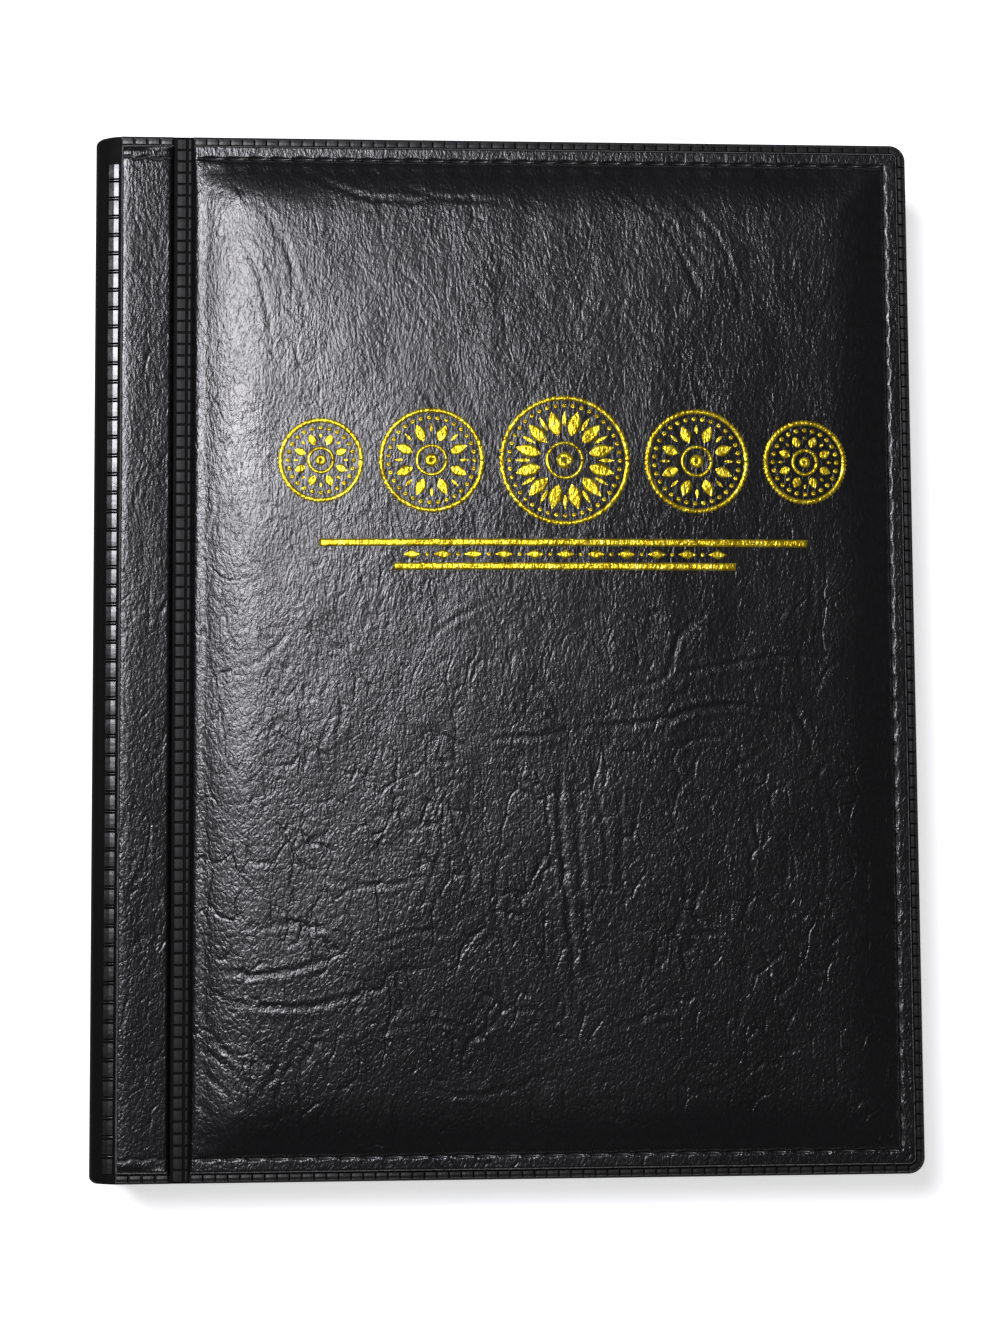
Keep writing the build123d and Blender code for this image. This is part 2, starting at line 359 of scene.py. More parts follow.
def make_clear_film():
    """Clear soft vinyl. The value weld makes the welded lines milky and ridged."""
    nodes = start_material("clear_film")
    weld = painted(nodes, "weld")
    haze = noise(nodes, object_point(nodes), 0.05, 4.0)
    ridges = (object_point(nodes, turn=0.785).part(0) * 6.0).sine() * weld
    return finish_material(
        nodes,
        Base_Color=mixed(nodes, weld, (0.78, 0.83, 0.87), (0.88, 0.91, 0.93)),
        Roughness=0.12 + haze * 0.1 + weld * 0.25,
        Alpha=0.13 + haze * 0.08 + weld * 0.38,
        Normal=bumped(nodes, ridges * 0.5 + haze * 0.4, 0.1),
    )


def make_milky_film():
    """Layers of welded film at the binding edge."""
    nodes = start_material("binding_film")
    cloud = noise(nodes, object_point(nodes, (1.0, 0.2, 3.0)), 0.4, 3.0)
    return finish_material(
        nodes,
        Base_Color=mixed(nodes, cloud, (0.50, 0.54, 0.58), (0.72, 0.75, 0.78)),
        Roughness=0.3 + cloud * 0.15,
        Alpha=0.82 + noise(nodes, object_point(nodes), 0.1) * 0.1,
    )


def make_plain(name, dark, light, roughness, metallic=0.0, grain=0.6, relief_mm=0.04):
    """A plain finish with a little uneven colour and a fine surface."""
    nodes = start_material(name)
    point = object_point(nodes)
    cloud = noise(nodes, point, 0.15, 4.0)
    speckle = noise(nodes, point, grain, 3.0)
    return finish_material(
        nodes,
        Base_Color=mixed(nodes, cloud * 0.6 + speckle * 0.4, dark, light),
        Roughness=roughness + (speckle - 0.5) * 0.15,
        Metallic=metallic,
        Normal=bumped(nodes, speckle, relief_mm),
    )


LEATHER = make_leatherette()
WELDED = make_welded_vinyl("welded_vinyl", 0.3)
# Darker and less reflective copy of the welded vinyl: painted shade on the groove's ribs, which
# lie in the strip's shade
SHADED_GROOVE_WELD = make_welded_vinyl("shaded_groove_weld", 0.5, 0.003, 0.25)
# Black vinyl made darker and nearly without reflection: painted shade on the webs between and
# beside the pillows
SHADED_BLACK_WELD = make_welded_vinyl("shaded_black_weld", 0.6, 0.0015, 0.08)
GLOSSY_WELD = make_welded_vinyl("glossy_weld", 0.25)
LINING_VINYL = make_lining()
THREAD = make_thread()
GOLD = make_gold_foil()
CLEAR = make_clear_film()
MILKY = make_milky_film()
CLAMP_PLASTIC = make_plain("clamp_plastic", (0.018, 0.018, 0.02), (0.035, 0.035, 0.038), 0.45)
NICKEL = make_plain("nickel_plate", (0.55, 0.54, 0.52), (0.78, 0.77, 0.75), 0.24, 1.0, 0.9, 0.02)
GREYBOARD = make_plain("greyboard", (0.30, 0.28, 0.25), (0.46, 0.44, 0.40), 0.85)
FOAM = make_plain("foam", (0.70, 0.68, 0.60), (0.88, 0.86, 0.78), 0.9, 0.0, 1.6, 0.3)
CARD = make_plain("black_card", (0.03, 0.03, 0.03), (0.07, 0.07, 0.07), 0.8)


# Placing flat panels


AS_FRONT = Matrix.Translation((0, 0, FRONT_INNER * MM))
AS_BACK = Matrix.Translation((0, 0, BACK_INNER * MM)) @ Matrix.Rotation(math.pi, 4, "X")
SIDES = (("front", AS_FRONT), ("back", AS_BACK))
# The spine panel stands up, with its outer side towards -X
SPINE_MIDDLE = Vector((SPINE_INNER * MM, 0, (FRONT_INNER + BACK_INNER) / 2 * MM))
AS_SPINE = Matrix.Translation(SPINE_MIDDLE) @ Matrix.Rotation(-math.pi / 2, 4, "Y")


def linked(name, data):
    """An object of the scene that shows the data."""
    made = bpy.data.objects.new(name, data)
    bpy.context.scene.collection.objects.link(made)
    return made


def new_mesh(name, points, faces, material, smooth=True):
    """A mesh of one material, from points in metres."""
    mesh = bpy.data.meshes.new(name)
    mesh.from_pydata(points.tolist(), [], faces)
    mesh.polygons.foreach_set("use_smooth", [smooth] * len(mesh.polygons))
    mesh.materials.append(material)
    mesh.update()
    return mesh


def new_object(name, points, faces, material):
    """A mesh object from points in millimetres."""
    return linked(name, new_mesh(name, np.asarray(points) * MM, faces, material))


def paint(piece, name, values):
    """Gives each of a piece's points a value for its material."""
    attribute = piece.data.attributes.new(name, "FLOAT", "POINT")
    attribute.data.foreach_set("value", values.astype(np.float32))


def placed(piece, matrix, body, slot, *replaced):
    """Moves a piece's mesh into place and makes it ride on its body."""
    piece.data.transform(matrix)
    piece.data.update()
    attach(piece, body)
    if replaced:
        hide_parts(*replaced)


def grid_faces(rows, columns, start=0):
    """The quads of a grid of points, row by row, facing +h when rows run along +y."""
    index = start + np.arange(rows * columns).reshape(rows, columns)
    quads = np.stack([index[:-1, :-1], index[:-1, 1:], index[1:, 1:], index[1:, :-1]], -1)
    return quads.reshape(-1, 4).tolist()


def grid_border(rows, columns, start=0):
    """The grid's border points, counter-clockwise."""
    index = start + np.arange(rows * columns).reshape(rows, columns)
    sides = (index[0, :-1], index[:-1, -1], index[-1, :0:-1], index[:0:-1, 0])
    return np.concatenate(sides).tolist()


def closed_sheet(x, y, top, bottom, start=0):
    """Points and faces of a closed sheet between two height fields. start numbers its points."""
    upper, lower = (np.stack([x, y, h], -1).reshape(-1, 3) for h in (top, bottom))
    count = len(upper)
    faces = grid_faces(*x.shape, start)
    faces += [face[::-1] for face in grid_faces(*x.shape, start + count)]
    border = grid_border(*x.shape, start)
    for a, b in zip(border, border[1:] + border[:1]):
        faces.append([b, a, a + count, b + count])
    return np.vstack([upper, lower]), faces


def sheet_on_base(name, x, y, h, pit):
    """A skin as a closed body: a height field over a flat base, with upright sides."""
    top = np.stack([x, y, h], -1).reshape(-1, 3)
    border = grid_border(*h.shape)
    skirt = top[border].copy()
    skirt[:, 2] = LINING
    count, around = len(top), len(border)
    faces = grid_faces(*h.shape)
    for number in range(around):
        following = (number + 1) % around
        faces.append([border[following], border[number], count + number, count + following])
    faces.append([count + number for number in reversed(range(around))])
    piece = new_object(name, np.vstack([top, skirt]), faces, LEATHER)
    for face in piece.data.polygons[-around - 1 :]:
        face.use_smooth = False
    # The painted shade of needle holes, rims and hems goes on the skin's points; the skirt gets
    # none
    paint(piece, "pit", np.concatenate([pit.reshape(-1), np.zeros(around)]))
    return piece


def graded(low, high, edge_low, edge_high, fine, coarse):
    """Grid lines that are fine within a margin of each end and coarse between."""
    first = np.arange(low, low + edge_low, fine)
    last = np.arange(high, high - edge_high, -fine)[::-1]
    count = max(2, round((last[0] - first[-1]) / coarse) + 1)
    middle = np.linspace(first[-1], last[0], count)[1:-1]
    return np.concatenate([first, middle, last])


def smooth_rise(values):
    """0 to 1 with level ends, for values from 0 to 1."""
    values = np.clip(values, 0.0, 1.0)
    return values * values * (3 - 2 * values)


def pad_rise(values):
    """0 to 1 as a stuffed edge rises: steep at first, then level."""
    values = np.clip(values, 0.0, 1.0)
    return (1 - (1 - values) ** 2.2) ** 0.8


def quarter_round(distance, radius):
    """0 to 1 over a quarter circle of the radius."""
    t = np.clip(distance / radius, 0.0, 1.0)
    return np.sqrt(np.clip(1 - (1 - t) ** 2, 0, 1))


def ridge(distance, width):
    """1 on a line, fading to 0 on both sides."""
    return np.exp(-((distance / width) ** 2))


def rolling(x, y, seed, count, shortest, longest):
    """A gentle uneven surface: waves of random direction, about -1 to 1."""
    random = np.random.default_rng(seed)
    total = np.zeros_like(x)
    for _ in range(count):
        angle = random.uniform(0, math.pi)
        length = random.uniform(shortest, longest)
        phase = random.uniform(0, 2 * math.pi)
        wave = (x * math.cos(angle) + y * math.sin(angle)) * 2 * math.pi / length
        total += np.sin(wave + phase)
    return total / math.sqrt(count)


# Creases

# Each crease: its depth and half width in millimetres, then the points that it follows
DEEP_CREASES = [
    (0.34, 0.42, [(9.5, -21), (9.8, -38), (11.4, -56), (12.2, -70)]),
    (0.28, 0.40, [(12.8, -28), (13.8, -48), (15.6, -60)]),
    (0.22, 0.36, [(15.8, -16), (16.8, -28), (18.6, -40), (18.0, -50)]),
    (0.20, 0.36, [(20.7, -24), (21.6, -38), (20.6, -47)]),
    (0.24, 0.42, [(30, -6), (44, -2.8), (58, -1.2), (66, -2.5)]),
    (0.30, 0.45, [(12.6, -16), (28, -14.2), (40, -11.4), (53, -12.4), (65, -16.4)]),
    (0.22, 0.40, [(38, -6.4), (44, -12.2), (51.6, -15.4)]),
    (0.18, 0.40, [(-5.4, -18), (4.6, -17.2), (12.6, -16)]),
    (0.18, 0.36, [(28, -20), (40, -17.4), (51.6, -20.2)]),
    (0.20, 0.40, [(20, -8), (30, -6), (33, 2), (40, 8)]),
    (0.26, 0.40, [(-58, -61.6), (-47, -62.6), (-33, -59.6)]),
    (0.26, 0.40, [(-56, -68), (-41, -69), (-27, -66)]),
    (0.20, 0.36, [(-38.6, -44), (-27, -46), (-15, -44)]),
    (0.18, 0.36, [(-50, -54), (-40, -53), (-30, -56)]),
    (0.20, 0.36, [(-34, -63), (-30, -70), (-31, -76)]),
    (0.30, 0.38, [(-60.6, -76), (-55, -80), (-50, -84)]),
    (0.30, 0.38, [(-60, -80.4), (-56, -84), (-52.6, -88)]),
    (0.26, 0.36, [(-58, -75), (-53, -78.6), (-47.6, -80)]),
    (0.24, 0.36, [(-60.4, -86.4), (-57.6, -90)]),
    (0.26, 0.42, [(-41, 95.4), (-33, 91.6), (-25, 89.4), (-13, 89)]),
    (0.22, 0.40, [(-23, 92.4), (-13, 89.8), (1, 88.8)]),
    (0.24, 0.42, [(21, 94.4), (29, 87.6), (34.6, 79), (38.6, 69)]),
    (0.22, 0.40, [(25, 93.4), (33, 84.6), (38.6, 75)]),
    (0.20, 0.38, [(30, 94), (38, 87), (44, 78), (47, 66)]),
    (0.16, 0.40, [(-55, 86), (-50, 77), (-47, 66), (-46, 56)]),
    (0.16, 0.40, [(-50, 90), (-43, 78), (-39, 64)]),
    (0.18, 0.36, [(42, 62), (30, 58), (22, 66)]),
    (0.18, 0.40, [(2, -34), (-3, -46), (-1, -60), (3, -72)]),
    (0.16, 0.36, [(-12, -30), (-8, -42), (-10, -54)]),
    (0.18, 0.36, [(30, -34), (34, -46), (31, -60), (34, -74)]),
    (0.16, 0.36, [(44, -30), (47, -42), (45, -56)]),
    (0.18, 0.36, [(-25, -74), (-14, -72), (-4, -76)]),
    (0.18, 0.36, [(-20, -84), (-8, -86), (6, -83)]),
    (0.16, 0.36, [(56, 30), (60, 14), (57, -4)]),
    (0.16, 0.36, [(60, -22), (62, -40), (59, -60)]),
]


def smooth_curve(a, b, c, d, t):
    """A smooth curve from b, where t is 0, to c, where t is 1, past the neighbours a and d."""
    curve = (2 * a - 5 * b + 4 * c - d) * t**2 + (3 * b - a - 3 * c + d) * t**3
    return 0.5 * (2 * b + (c - a) * t + curve)


def smooth_path(points, step=0.8):
    """Points along a smooth curve through the given points."""
    points = np.array(points, float)
    padded = np.vstack([2 * points[0] - points[1], points, 2 * points[-1] - points[-2]])
    out = []
    for a, b, c, d in zip(padded, padded[1:], padded[2:], padded[3:]):
        count = max(2, int(np.hypot(*(c - b)) / step))
        t = np.linspace(0, 1, count, endpoint=False)[:, None]
        out.append(smooth_curve(a, b, c, d, t))
    return np.vstack([*out, points[-1:]])


def random_creases(seed, count, x_low, x_high, y_low, y_high):
    """Short fine creases: upright towards the head, in all directions towards the tail."""
    random = np.random.default_rng(seed)
    creases = []
    for _ in range(count):
        place = np.array([random.uniform(x_low, x_high), random.uniform(y_low, y_high)])
        tail_share = 1 - (place[1] - y_low) / (y_high - y_low)
        spread = 0.35 + 1.3 * tail_share
        angle = math.pi / 2 + random.normal(0, spread)
        length = random.uniform(5, 17)
        points = [place]
        for _ in range(4):
            angle += random.normal(0, 0.28)
            step = length / 4 * np.array([math.cos(angle), math.sin(angle)])
            points.append(points[-1] + step)
        depth = random.uniform(0.05, 0.16) * (0.6 + 0.75 * tail_share)
        creases.append((depth, random.uniform(0.26, 0.4), points))
    return creases


def pressed_creases(x, y, creases, seed):
    """The height that creases take from a surface: a sharp valley with soft shoulders."""
    random = np.random.default_rng(seed)
    total = np.zeros_like(x)
    for depth, width, points in creases:
        depth, width = 0.85 * depth, 0.85 * width
        path = smooth_path(points)
        path = path + random.normal(0, 0.19, path.shape)
        reach = 6 * width
        (x_low, y_low), (x_high, y_high) = path.min(0) - reach, path.max(0) + reach
        near = (x > x_low) & (x < x_high) & (y > y_low) & (y < y_high)
        if not near.any():
            continue
        spot = np.stack([x[near], y[near]], -1)
        start, step = path[:-1], path[1:] - path[:-1]
        length = np.maximum((step**2).sum(-1), 1e-9)
        along = ((spot[:, None] - start) * step).sum(-1) / length
        along = np.clip(along, 0, 1)
        gap = np.hypot(*np.moveaxis(spot[:, None] - start - along[..., None] * step, -1, 0))
        nearest = gap.argmin(-1)
        distance = gap[np.arange(len(spot)), nearest]
        share = (nearest + along[np.arange(len(spot)), nearest]) / len(step)
        fade = np.sin(np.clip(share, 0.02, 0.98) * math.pi) ** 0.7
        valley = ridge(distance, width)
        shoulder = ridge(distance - 2.4 * width, 1.3 * width)
        total[near] += fade * depth * (0.4 * shoulder - valley)
    return total


# Cover skins


def seam_runs():
    """The three straight seams of a flat cover: start, direction, pitch and count of stitches."""
    left = COVER_LEFT + 1.4
    right, top = FORE_EDGE - SEAM_INSET, HALF_HEIGHT - SEAM_INSET
    corners = np.array([(left, top), (right, top), (right, -top), (left, -top)])
    runs = []
    for start, end in zip(corners, corners[1:]):
        length = np.hypot(*(end - start))
        count = round(length / STITCH_PITCH)
        runs.append((start, (end - start) / length, length / count, count))
    return runs


def needle_pits(x, y):
    """Elongated pits that the thread pulls into the skin, from 0 to 1. The same values sink the
    skin and darken it with painted shade in the holes.
    """
    pits = np.zeros_like(x)
    random = np.random.default_rng(5)
    for start, direction, pitch, count in seam_runs():
        for number in range(count):
            place = start + direction * pitch * (number + 0.5)
            offset = random.normal(0, 0.06)
            near = (abs(x - place[0]) < 2) & (abs(y - place[1]) < 2)
            dx, dy = x[near] - place[0], y[near] - place[1]
            along = dx * direction[0] + dy * direction[1]
            across = dy * direction[0] - dx * direction[1] - offset
            pit = np.exp(-((along / 0.9) ** 4) - (across / 0.34) ** 2)
            pits[near] = np.maximum(pits[near], pit)
    return pits


def edge_inset(x, y):
    """How far in from the head, tail and fore edge a point lies, round the two corners."""
    side, end = FORE_EDGE - x, HALF_HEIGHT - abs(y)
    inset = np.minimum(side, end)
    corner = (side < CORNER_RADIUS) & (end < CORNER_RADIUS)
    round_inset = CORNER_RADIUS - np.hypot(CORNER_RADIUS - side, CORNER_RADIUS - end)
    return np.where(corner, round_inset, inset)


def rounded_corners(x, y):
    """Draws a square grid's two fore-edge corners in to the corner radius."""
    cx, cy = FORE_EDGE - CORNER_RADIUS, HALF_HEIGHT - CORNER_RADIUS
    u, v = (x - cx) / CORNER_RADIUS, (abs(y) - cy) / CORNER_RADIUS
    corner = (u > 0) & (v > 0)
    length = np.maximum(np.hypot(u, v), 1e-9)
    shrink = np.where(corner, np.maximum(u, v) / length, 1.0)
    new_x = np.where(corner, cx + u * shrink * CORNER_RADIUS, x)
    new_y = np.where(corner, np.sign(y) * (cy + v * shrink * CORNER_RADIUS), y)
    return new_x, new_y


def crown_height(x, y):
    """The padded cover without creases: rim, sewn margin, seam and stuffed crown."""
    inset, left = edge_inset(x, y), x - COVER_LEFT
    height = RIM - 0.15 + (MARGIN_TOP - RIM + 0.15) * quarter_round(inset - RIM_WIDTH, 0.6)
    height = np.minimum(height, RIM + (MARGIN_TOP - RIM) * quarter_round(left + 0.05, 0.7))
    stuffed = pad_rise((inset - SEAM_INSET - 0.1) / 12.0) * pad_rise(left / 15.0)
    height = height + (CROWN - MARGIN_TOP - 0.12) * stuffed
    return height - 0.2 * ridge(inset - SEAM_INSET, 0.2) * smooth_rise(left / 2)


def refined(values, coarse, fine):
    """Values on an even coarse line, drawn smoothly through a fine one."""
    place = np.clip((fine - coarse[0]) / (coarse[1] - coarse[0]), 0, len(coarse) - 1.001)
    index = place.astype(int)
    near = (values[..., np.clip(index + step, 0, len(coarse) - 1)] for step in (-1, 0, 1, 2))
    return smooth_curve(*near, place - index)


def simulated_swell(fine_x, fine_y, slack):
    """How far the filling lifts a skin that is sewn down all round, by cloth simulation."""
    end = HALF_HEIGHT - SEAM_INSET
    coarse_x = np.linspace(COVER_LEFT + 0.8, FORE_EDGE - SEAM_INSET, 47)
    coarse_y = np.linspace(-end, end, 66)
    x, y = np.meshgrid(coarse_x, coarse_y)
    flat = crown_height(x, y)
    lift = blown_up(x, y, flat, slack) - flat
    lift = lift / max(np.percentile(abs(lift), 97), 1e-6)
    lift = np.clip(lift, -0.6, 1.15)
    for _ in range(3):
        lift[1:-1] = (lift[:-2] + 2 * lift[1:-1] + lift[2:]) / 4
    return refined(refined(lift, coarse_x, fine_x).T, coarse_y, fine_y).T


def blown_up(x, y, flat, slack):
    """The heights of a slack cloth held at its border under pressure, made larger to be stable."""
    points = np.stack([x, y, flat], -1).reshape(-1, 3) * SWELL_SCALE
    sheet = new_object("swell_sheet", points, grid_faces(*x.shape), LEATHER)
    seam = sheet.vertex_groups.new(name="seam")
    seam.add(grid_border(*x.shape), 1.0, "REPLACE")
    cloth = sheet.modifiers.new("swell", "CLOTH")
    settings = {
        "quality": 6,
        "mass": 0.25,
        "tension_stiffness": 12,
        "compression_stiffness": 12,
        "shear_stiffness": 4,
        "bending_stiffness": 0.6,
        "shrink_min": -slack,
        "shrink_max": -slack,
        "vertex_group_mass": "seam",
        "use_pressure": True,
        "uniform_pressure_force": 4.0,
    }
    for key, value in settings.items():
        setattr(cloth.settings, key, value)
    cloth.settings.effector_weights.gravity = 0
    cloth.point_cache.frame_end = SWELL_FRAMES
    scene = bpy.context.scene
    for step in range(SWELL_FRAMES):
        scene.frame_set(step + 1)
    evaluated = sheet.evaluated_get(bpy.context.evaluated_depsgraph_get())
    spots = np.zeros(x.size * 3)
    evaluated.data.vertices.foreach_get("co", spots)
    bpy.data.objects.remove(sheet)
    scene.frame_set(1)
    return spots.reshape(*x.shape, 3)[..., 2] / MM / SWELL_SCALE


class CoverForm:
    """The flat shape of one padded cover skin, as a height field that the foil can lie on."""

    def __init__(self, seed, creases, swell_mm):
        self.xs = graded(COVER_LEFT, FORE_EDGE, 2.4, 5.8, 0.2, 0.68)
        self.ys = graded(-HALF_HEIGHT, HALF_HEIGHT, 5.8, 5.8, 0.2, 0.68)
        x, y = self.x, self.y = rounded_corners(*np.meshgrid(self.xs, self.ys))
        inset, left = edge_inset(x, y), x - COVER_LEFT
        self.pits = needle_pits(x, y)
        inside = smooth_rise((inset - SEAM_INSET - 0.5) / 2.5) * smooth_rise((left - 0.8) / 2.0)
        margin = smooth_rise((inset - 2.2) / 0.6)
        swell = simulated_swell(self.xs, self.ys, 0.01)
        h = crown_height(x, y) + (swell_mm * swell - 0.35) * inside
        h = h + pressed_creases(x, y, creases, seed) * (0.25 * margin + 0.75 * inside)
        h = h + 0.05 * rolling(x, y, seed + 1, 14, 14, 70) * inside
        h = h + 0.012 * rolling(x, y, seed + 2, 16, 3, 9) * inside
        along_seam = np.where(FORE_EDGE - x < HALF_HEIGHT - abs(y), y, x)
        puckers = np.sin(along_seam * 2 * math.pi / STITCH_PITCH)
        h = h + 0.10 * puckers * ridge(inset - SEAM_INSET - 1.6, 1.2) * smooth_rise(left / 3)
        if swell_mm < 1:
            # A cover that the album rests on is pressed level
            h = CROWN - 0.02 - 0.15 * np.logaddexp(0, (CROWN - 0.02 - h) / 0.15)
        foot = np.minimum(inset - FOAM_INSET, left - 0.8)
        foam = LINING + FOAM_EDGE + FOAM_RISE * np.clip(foot / FOAM_TAPER, 0, 1)
        self.h = np.maximum(h - 0.55 * self.pits, np.where(foot > 0, foam, 0) + 0.12)

    def height_at(self, x, y):
        """The skin's height at any point of its crown."""
        column = np.clip(np.searchsorted(self.xs, x) - 1, 0, len(self.xs) - 2)
        row = np.clip(np.searchsorted(self.ys, y) - 1, 0, len(self.ys) - 2)
        u = (x - self.xs[column]) / (self.xs[column + 1] - self.xs[column])
        v = (y - self.ys[row]) / (self.ys[row + 1] - self.ys[row])
        low = self.h[row, column] * (1 - u) + self.h[row, column + 1] * u
        high = self.h[row + 1, column] * (1 - u) + self.h[row + 1, column + 1] * u
        return low * (1 - v) + high * v

    def make(self, name):
        """The skin as a piece. Its rim gets painted shade like the needle pits, so that the gaps
        between the bead's segments look dark.
        """
        # Painted shade in the needle holes and on the rim between the bead's segments
        shade = np.maximum(self.pits, 0.9 * (edge_inset(self.x, self.y) < RIM_WIDTH))
        return sheet_on_base(name, self.x, self.y, self.h, shade)


def make_cover_skins():
    """Makes both padded skins, and gives back the front one's form."""
    spread = (COVER_LEFT + 2, FORE_EDGE - 6, -HALF_HEIGHT + 6, HALF_HEIGHT - 6)
    front = CoverForm(11, DEEP_CREASES + random_creases(21, 400, *spread), 2.0)
    back = CoverForm(12, random_creases(22, 300, *spread), 0.6)
    for form, (side, place) in zip((front, back), SIDES):
        skin = form.make(f"{side}_cover_skin")
        placed(skin, place, f"{side}_cover", "leatherette", f"{side}_skin")
    return front


# Strips and spine panel


def narrow_form(low, high, seed, edge_radius, lean):
    """A narrow pillow panel: rims at head and tail, round long edges and a hem near each end."""
    xs = graded(low, high, 1.6, 1.6, 0.2, 0.5)
    ys = graded(-HALF_HEIGHT, HALF_HEIGHT, 6.2, 6.2, 0.2, 0.7)
    x, y = np.meshgrid(xs, ys)
    end, side = HALF_HEIGHT - abs(y), np.minimum(x - low, high - x)
    body = quarter_round(side + 0.06, edge_radius) * quarter_round(end - RIM_WIDTH, 0.8)
    h = RIM - 0.15 + (PANEL - RIM - 0.05) * body
    ends = smooth_rise((end - 2.4) / 1.2)
    inside = smooth_rise(side / 1.5) * ends
    waver = 0.25 * np.sin(x * 1.7 + seed) + 0.12 * np.sin(x * 4.1)
    hem = ridge(end - SEAM_INSET - waver, 0.2) * smooth_rise(side / 0.8)
    creases = random_creases(seed, 45, low + 1, high - 1, -HALF_HEIGHT + 4, HALF_HEIGHT - 4)
    h = h + 0.6 * pressed_creases(x, y, creases, seed) * inside
    h = h + 0.025 * rolling(x, y, seed, 12, 5, 40) * inside
    across = (x - low) / (high - low)
    tilt = lean * (0.55 - 0.85 * across - 0.33 * np.exp((low - x) / 0.9))
    h = h + tilt * ends - 0.25 * hem
    # Painted shade in the hems and on the rims under the beads
    shade = np.maximum(hem * 0.8, 0.9 * (end < RIM_WIDTH))
    over_board = (side > 0.7) & (end > 2.6)
    return x, y, np.where(over_board, np.maximum(h, BOARD_TOP + 0.1), h), shade


def make_narrow_skins():
    """Skins of the two binding strips and the spine."""
    jobs = [
        ("front_strip", STRIP_LEFT, STRIP_RIGHT, AS_FRONT, 31, 0.7, 1.3),
        ("back_strip", STRIP_LEFT, STRIP_RIGHT, AS_BACK, 32, 0.7, 1.3),
        ("spine", -SPINE_HALF, SPINE_HALF, AS_SPINE, 33, 0.6, 0.0),
    ]
    for body, low, high, place, *form in jobs:
        x, y, h, shade = narrow_form(low, high, *form)
        skin = sheet_on_base(f"{body}_pillow_skin", x, y, h, shade)
        placed(skin, place, body, "leatherette", f"{body}_skin")


# Repeated details, made with Geometry Nodes


def start_geometry_tree(name, sizes):
    """A Geometry Nodes tree with a curve input and named sizes in millimetres."""
    tree = bpy.data.node_groups.new(name, "GeometryNodeTree")
    ends = tree.interface
    ends.new_socket("Geometry", in_out="INPUT", socket_type="NodeSocketGeometry")
    for label, value in sizes.items():
        size = ends.new_socket(label, in_out="INPUT", socket_type="NodeSocketFloat")
        size.default_value = value * MM
    ends.new_socket("Material", in_out="INPUT", socket_type="NodeSocketMaterial")
    ends.new_socket("Geometry", in_out="OUTPUT", socket_type="NodeSocketGeometry")
    nodes = Nodes(tree)
    entry = tree.nodes.new("NodeGroupInput")
    given = {socket.name: Wire(nodes, socket) for socket in entry.outputs if socket.name}
    return tree, nodes, given


def finish_geometry_tree(nodes, points, shape, tangent, given, slant=0.0):
    """Sets the shape on every point along the curve, then makes it real."""
    settings = {"axis": "X", "pivot_axis": "Z"}
    turn = nodes.add("FunctionNodeAlignRotationToVector", settings, {"Vector": tangent})
    if slant:
        tilt = nodes.add("FunctionNodeEulerToRotation", None, {0: (0.0, 0.0, slant)})
        settings = {"rotation_space": "LOCAL"}
        turn = nodes.add("FunctionNodeRotateRotation", settings, {0: turn, 1: tilt})
    sockets = {"Points": points, "Instance": shape, "Rotation": turn}
    instances = nodes.add("GeometryNodeInstanceOnPoints", None, sockets)
    real = nodes.add("GeometryNodeRealizeInstances", None, {0: instances})
    sockets = {"Geometry": real, "Material": given["Material"]}
    nodes.add("NodeGroupOutput", None, {0: nodes.add("GeometryNodeSetMaterial", None, sockets)})


def spread_points(nodes, given):
    """Points along the curve, half a pitch in from its ends, and its direction there."""
    curve = given["Geometry"]
    length = nodes.add("GeometryNodeCurveLength", None, {0: curve})
    count = nodes.add("ShaderNodeMath", {"operation": "ROUND"}, {0: length / given["Pitch"]})
    half = 0.5 / count
    sockets = {"Curve": curve, 2: half, 3: 1.0 - half}
    trimmed = nodes.add("GeometryNodeTrimCurve", {"mode": "FACTOR"}, sockets)
    sockets = {"Curve": trimmed, "Count": count}
    points = nodes.add("GeometryNodeCurveToPoints", {"mode": "COUNT"}, sockets)
    return points, Wire(nodes, points.socket.node.outputs["Tangent"])


def make_pillow_tree():
    """Rounded pillows in a row: the segments of a welded bead or rib."""
    sizes = {"Pitch": 2.4, "Length": 2.0, "Width": 1.0, "Height": 0.4, "Sink": 0.3}
    tree, nodes, given = start_geometry_tree("pillow_row", sizes)
    points, tangent = spread_points(nodes, given)
    sockets = {"Size": (1.0, 1.0, 1.0), "Vertices X": 6, "Vertices Y": 5, "Vertices Z": 2}
    cube = nodes.add("GeometryNodeMeshCube", None, sockets)
    place = nodes.add("GeometryNodeInputPosition")
    u, v = place.part(0), place.part(1)
    swell = (1.0 - abs(u * 2.0) ** 6.0) * (1.0 - abs(v * 2.0) ** 3.0)
    top = place.part(2).above(0.0)
    height = top * swell * given["Height"] - (1.0 - top) * given["Sink"]
    along, across = (u * math.pi).sine() * 0.5, (v * math.pi).sine() * 0.5
    sockets = {0: along * given["Length"], 1: across * given["Width"], 2: height}
    spot = nodes.add("ShaderNodeCombineXYZ", None, sockets)
    shaped = nodes.add("GeometryNodeSetPosition", None, {"Geometry": cube, "Position": spot})
    finish_geometry_tree(nodes, points, shaped, tangent, given)
    return tree


